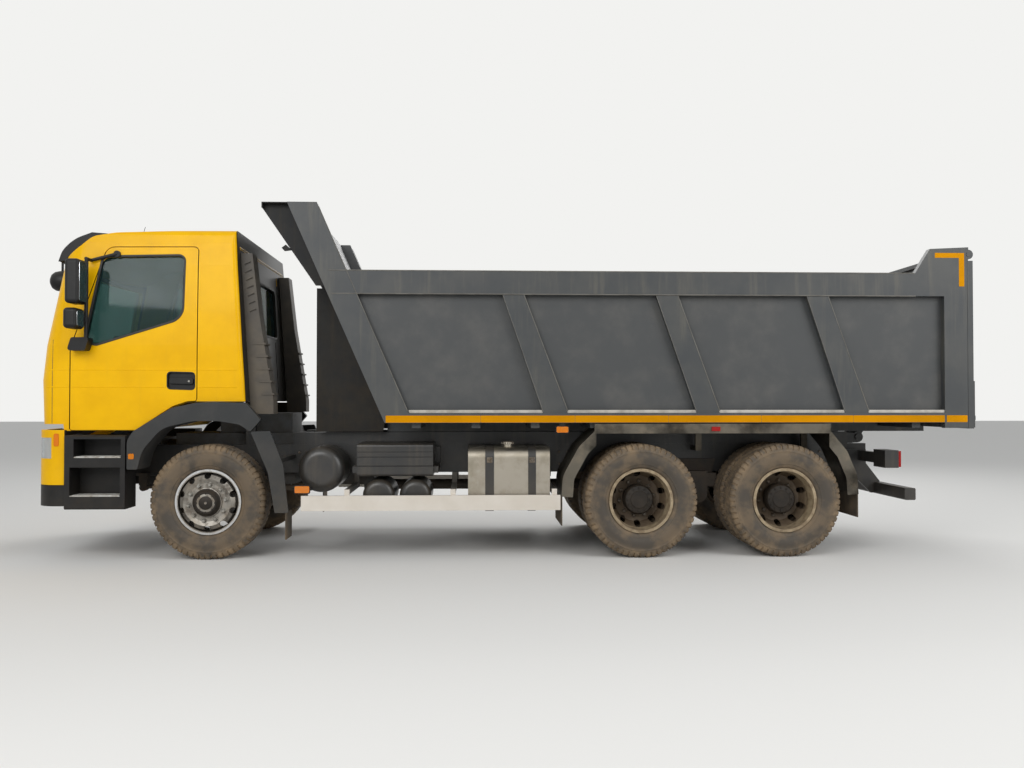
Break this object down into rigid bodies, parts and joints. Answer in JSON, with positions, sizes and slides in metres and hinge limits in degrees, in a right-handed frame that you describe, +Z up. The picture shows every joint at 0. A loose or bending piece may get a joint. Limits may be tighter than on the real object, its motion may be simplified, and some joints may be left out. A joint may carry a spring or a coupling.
{
  "type": "three-axle dump truck",
  "caption": "Cab-over dump truck with a tilting cab, steered front wheels, a rear-tipping steel bed with a cab protector, a telescopic front hoist and a top-hinged tailgate.",
  "frame": {"origin": "middle of the bounding box at ground level", "axes": "+X runs from the cab to the tailgate, +Y to the passenger side, +Z up"},
  "size_m": [8.77, 3, 3.285],
  "materials": {
    "cab_yellow": "gloss",
    "body_grey": "satin, dusty",
    "chassis_black": "satin",
    "bumper_black": "grained",
    "flare_grey": "grained",
    "cab_glass": "clear, tinted",
    "tyre_rubber": "dusty",
    "rim_silver": "satin, dusty",
    "rim_beige": "dusty",
    "tank_aluminium": "brushed",
    "guard_aluminium": "satin",
    "galvanised": "galvanised",
    "axle_iron": "painted, dusty",
    "engine_iron": "rough",
    "hoist_black": "satin",
    "hoist_chrome": "polished",
    "seat_fabric": "woven",
    "dash_plastic": "grained",
    "duct_plastic": "grained, dusty",
    "flap_rubber": "matt",
    "lamp_red": "clear red",
    "lamp_lens": "clear",
    "silencer_steel": "heat stained"
  },
  "bodies": {
    "chassis": {"frame_rails": "chassis_black", "subframe": "chassis_black", "lower_bumper": "bumper_black", "bumper_corners": "cab_yellow", "headlamps": "lamp_lens", "cab_steps": "bumper_black", "front_axle": "axle_iron", "rear_axles": "axle_iron", "engine_block": "engine_iron", "fuel_tank": "tank_aluminium", "tank_straps": "chassis_black", "air_tanks": "chassis_black", "equipment_boxes": "chassis_black", "side_guards": "guard_aluminium", "silencer": "silencer_steel", "rear_mudguards": "galvanised", "front_mudguards": "flare_grey", "mud_flaps": "flap_rubber", "underrun_bar": "chassis_black", "lamps": "lamp_red"},
    "cab": {"cab_shell": "cab_yellow", "cab_glass": "cab_glass", "wheel_arch_flares": "flare_grey", "sun_visor": "bumper_black", "intake_ducts": "duct_plastic", "seats": "seat_fabric", "dashboard": "dash_plastic", "front_grille": "bumper_black"},
    "door_left_body": {"door_left": "cab_yellow", "door_glass_left": "cab_glass", "door_mirrors_left": "bumper_black"},
    "door_right_body": {"door_right": "cab_yellow", "door_glass_right": "cab_glass", "door_mirrors_right": "bumper_black"},
    "knuckle_left_body": {"knuckle_left": "axle_iron"},
    "knuckle_right_body": {"knuckle_right": "axle_iron"},
    "front_wheel_left_body": {"front_wheel_left": "rim_silver", "front_tyre_left": "tyre_rubber"},
    "front_wheel_right_body": {"front_wheel_right": "rim_silver", "front_tyre_right": "tyre_rubber"},
    "tie_rod_body": {"tie_rod": "axle_iron"},
    "bed": {"bed_tub": "body_grey", "bed_frame": "body_grey", "canopy": "body_grey", "bed_bearers": "body_grey"},
    "tailgate_body": {"tailgate": "body_grey"},
    "hoist_barrel_body": {"hoist_barrel": "hoist_black"},
    "hoist_stage_1_body": {"hoist_stage_1": "hoist_black"},
    "hoist_stage_2_body": {"hoist_stage_2": "hoist_chrome"},
    "hoist_stage_3_body": {"hoist_stage_3": "hoist_chrome"},
    "hoist_stage_4_body": {"hoist_stage_4": "hoist_chrome"},
    "rear_wheels_1_left_body": {"rear_wheels_1_left": "rim_beige", "rear_tyres_1_left": "tyre_rubber"},
    "rear_wheels_1_right_body": {"rear_wheels_1_right": "rim_beige", "rear_tyres_1_right": "tyre_rubber"},
    "rear_wheels_2_left_body": {"rear_wheels_2_left": "rim_beige", "rear_tyres_2_left": "tyre_rubber"},
    "rear_wheels_2_right_body": {"rear_wheels_2_right": "rim_beige", "rear_tyres_2_right": "tyre_rubber"}
  },
  "joints": [
    {"name": "cab_tilt", "type": "hinge", "parent": "chassis", "child": "cab", "pos_m": [-4.265, 0, 1], "axis": [0, -1, 0], "range_deg": [0, 50]},
    {"name": "door_left_hinge", "type": "hinge", "parent": "cab", "child": "door_left_body", "pos_m": [-4.01, -1.165, 1.6], "axis": [0, 0, -1], "range_deg": [0, 70]},
    {"name": "door_right_hinge", "type": "hinge", "parent": "cab", "child": "door_right_body", "pos_m": [-4.01, 1.165, 1.6], "axis": [0, 0, 1], "range_deg": [0, 70]},
    {"name": "steer_left", "type": "hinge", "parent": "chassis", "child": "knuckle_left_body", "pos_m": [-2.785, -0.85, 0.525], "axis": [0, 0, 1], "range_deg": [-35, 35]},
    {"name": "steer_right", "type": "hinge", "parent": "chassis", "child": "knuckle_right_body", "pos_m": [-2.785, 0.85, 0.525], "axis": [0, 0, 1], "range_deg": [-35.5, 35.5]},
    {"name": "tie_rod_slide", "type": "slide", "parent": "chassis", "child": "tie_rod_body", "axis": [0, 1, 0], "range_m": [-0.108, 0.108]},
    {"name": "front_wheel_left_spin", "type": "hinge", "parent": "knuckle_left_body", "child": "front_wheel_left_body", "pos_m": [-2.785, -1.027, 0.525], "axis": [0, 1, 0], "continuous": true},
    {"name": "front_wheel_right_spin", "type": "hinge", "parent": "knuckle_right_body", "child": "front_wheel_right_body", "pos_m": [-2.785, 1.027, 0.525], "axis": [0, 1, 0], "continuous": true},
    {"name": "rear_wheels_1_left_spin", "type": "hinge", "parent": "chassis", "child": "rear_wheels_1_left_body", "pos_m": [1.198, -0.9125, 0.525], "axis": [0, 1, 0], "continuous": true},
    {"name": "rear_wheels_1_right_spin", "type": "hinge", "parent": "chassis", "child": "rear_wheels_1_right_body", "pos_m": [1.198, 0.9125, 0.525], "axis": [0, 1, 0], "continuous": true},
    {"name": "rear_wheels_2_left_spin", "type": "hinge", "parent": "chassis", "child": "rear_wheels_2_left_body", "pos_m": [2.548, -0.9125, 0.525], "axis": [0, 1, 0], "continuous": true},
    {"name": "rear_wheels_2_right_spin", "type": "hinge", "parent": "chassis", "child": "rear_wheels_2_right_body", "pos_m": [2.548, 0.9125, 0.525], "axis": [0, 1, 0], "continuous": true},
    {"name": "bed_tip", "type": "hinge", "parent": "chassis", "child": "bed", "pos_m": [3.565, 0, 1.085], "axis": [0, 1, 0], "range_deg": [0, 48]},
    {"name": "tailgate_hinge", "type": "hinge", "parent": "bed", "child": "tailgate_body", "pos_m": [4.295, 0, 2.83], "axis": [0, -1, 0], "range_deg": [0, 65]},
    {"name": "hoist_swing", "type": "hinge", "parent": "chassis", "child": "hoist_barrel_body", "pos_m": [-1.785, 0, 1], "axis": [0, 1, 0], "range_deg": [0, 29.2]},
    {"name": "hoist_slide_1", "type": "slide", "parent": "hoist_barrel_body", "child": "hoist_stage_1_body", "axis": [0, 0, 1], "range_m": [0, 1.0655]},
    {"name": "hoist_slide_2", "type": "slide", "parent": "hoist_stage_1_body", "child": "hoist_stage_2_body", "axis": [0, 0, 1], "range_m": [0, 1.0655]},
    {"name": "hoist_slide_3", "type": "slide", "parent": "hoist_stage_2_body", "child": "hoist_stage_3_body", "axis": [0, 0, 1], "range_m": [0, 1.0655]},
    {"name": "hoist_slide_4", "type": "slide", "parent": "hoist_stage_3_body", "child": "hoist_stage_4_body", "axis": [0, 0, 1], "range_m": [0, 1.0655]}
  ],
  "couplings": [
    {"joint": "steer_right", "follows": "steer_left", "ratio": 1},
    {"joint": "tie_rod_slide", "follows": "steer_left", "m_per_rad": 0.175},
    {"joint": "hoist_swing", "follows": "bed_tip", "ratio": 0.60577},
    {"joint": "hoist_slide_1", "follows": "bed_tip", "m_per_rad": 1.2692},
    {"joint": "hoist_slide_2", "follows": "bed_tip", "m_per_rad": 1.2692},
    {"joint": "hoist_slide_3", "follows": "bed_tip", "m_per_rad": 1.2692},
    {"joint": "hoist_slide_4", "follows": "bed_tip", "m_per_rad": 1.2692}
  ]
}
